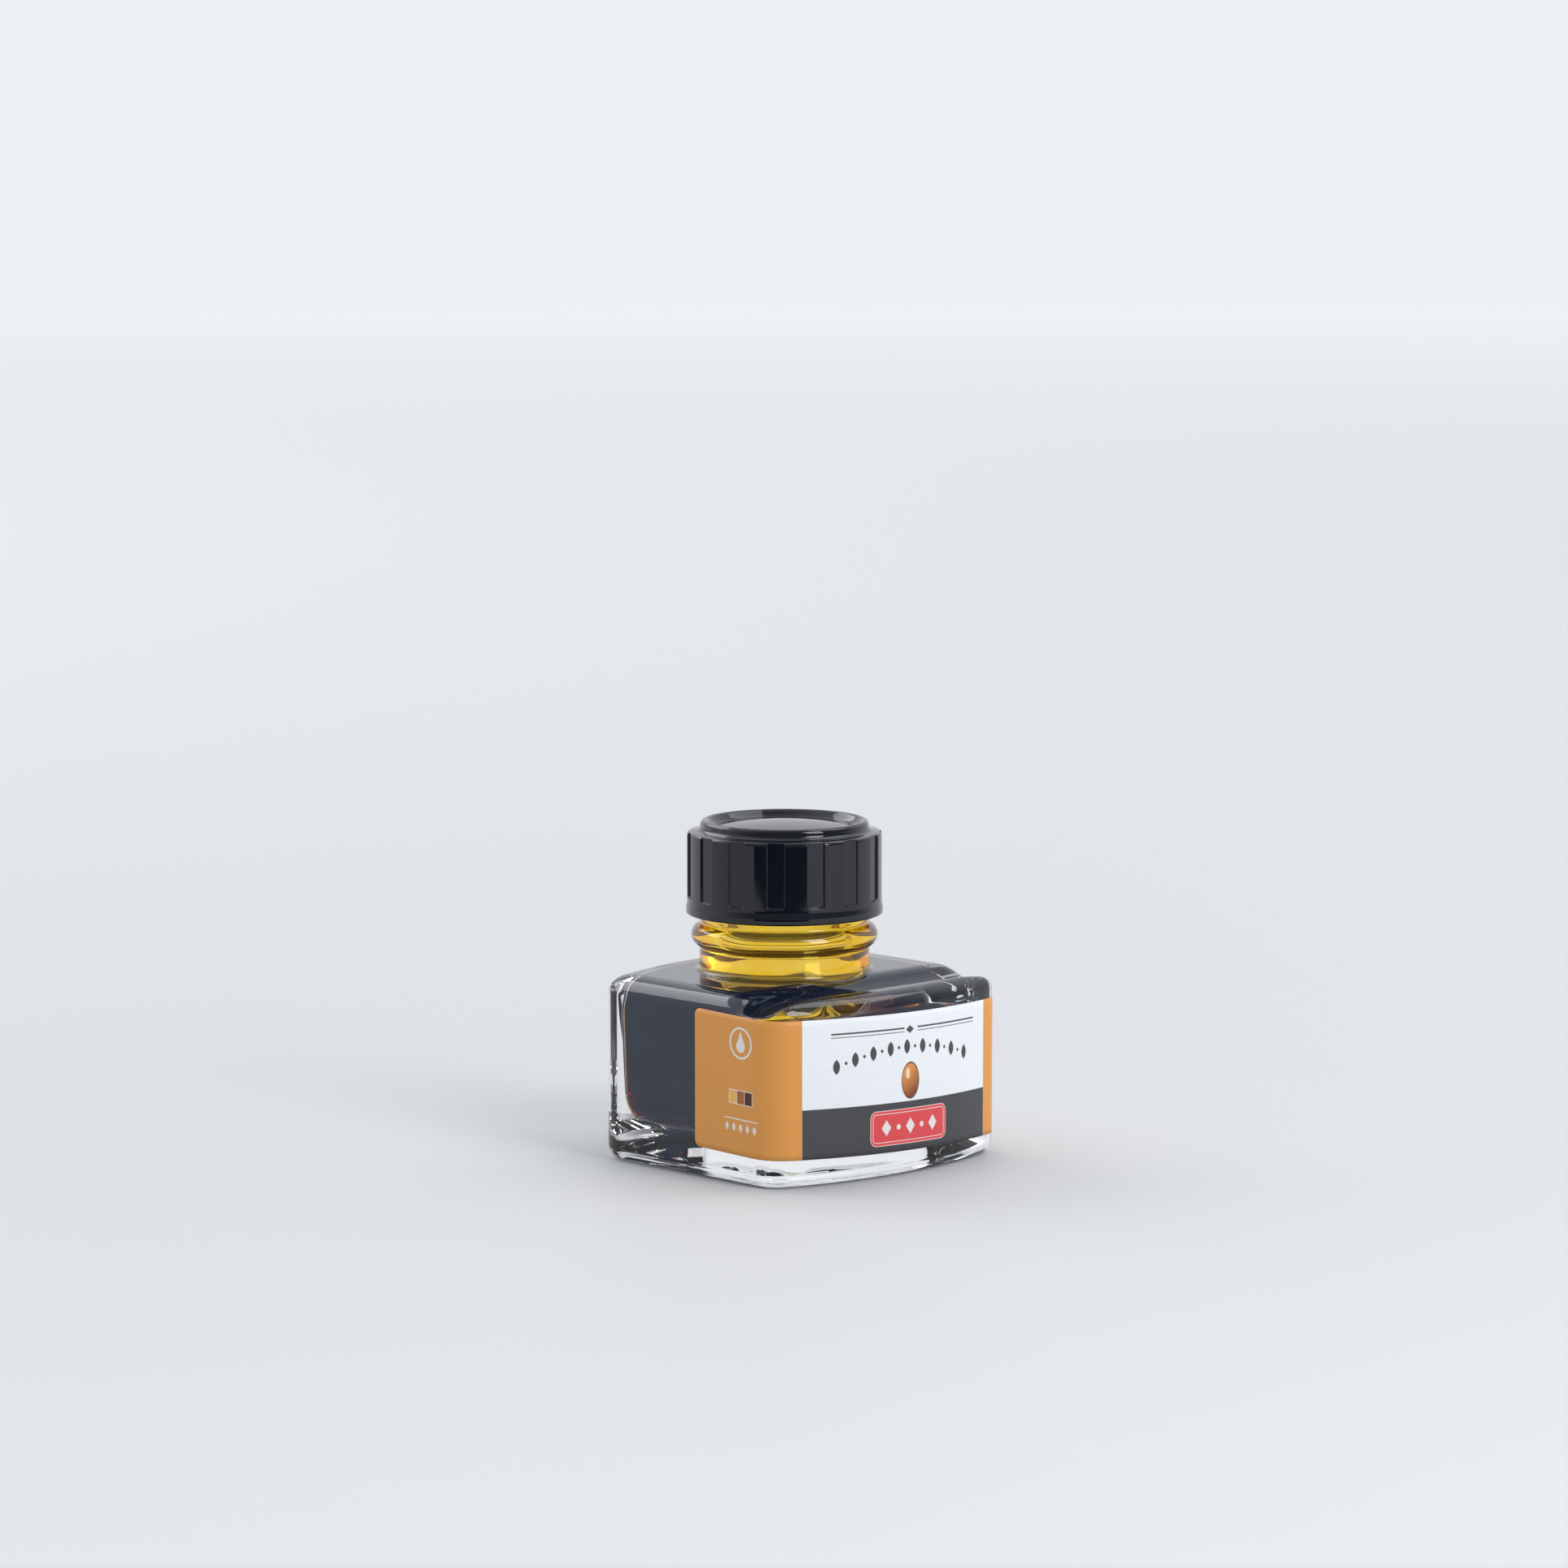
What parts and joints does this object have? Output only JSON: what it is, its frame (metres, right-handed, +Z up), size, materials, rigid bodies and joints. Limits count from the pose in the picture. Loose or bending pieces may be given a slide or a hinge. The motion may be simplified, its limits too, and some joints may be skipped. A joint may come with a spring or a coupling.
{
  "type": "ink bottle",
  "caption": "Square glass ink bottle with a pen-rest groove, filled with amber ink, with a wrap-round paper label and a black screw cap.",
  "frame": {"origin": "under the middle of the bottle, on the surface it stands on", "axes": "+Z up along the neck, -Y out of the face that carries the label's wide panel, +X to the right when that face is seen from in front"},
  "size_m": [0.0498, 0.0484, 0.0527],
  "materials": {
    "glass": "clear moulded glass",
    "ink": "dark amber liquid",
    "label": "printed coated paper, orange sides, white and charcoal front",
    "cap": "glossy black moulded plastic",
    "seal": "soft white foam disc"
  },
  "bodies": {
    "bottle": {"glass_bottle": "glass", "ink": "ink", "wrap_label": "label"},
    "lift": {"seal_disc": "seal"},
    "cap": {"screw_cap": "cap"}
  },
  "joints": [
    {"name": "cap_lift", "type": "slide", "parent": "bottle", "child": "lift", "axis": [0, 0, 1], "range_m": [0, 0.0342]},
    {"name": "cap_turn", "type": "hinge", "parent": "lift", "child": "cap", "pos_m": [0, 0.0033, 0.044], "axis": [0, 0, 1], "range_deg": [0, 2880]}
  ],
  "couplings": [
    {"joint": "cap_lift", "follows": "cap_turn", "m_per_rad": 0.0006737}
  ]
}
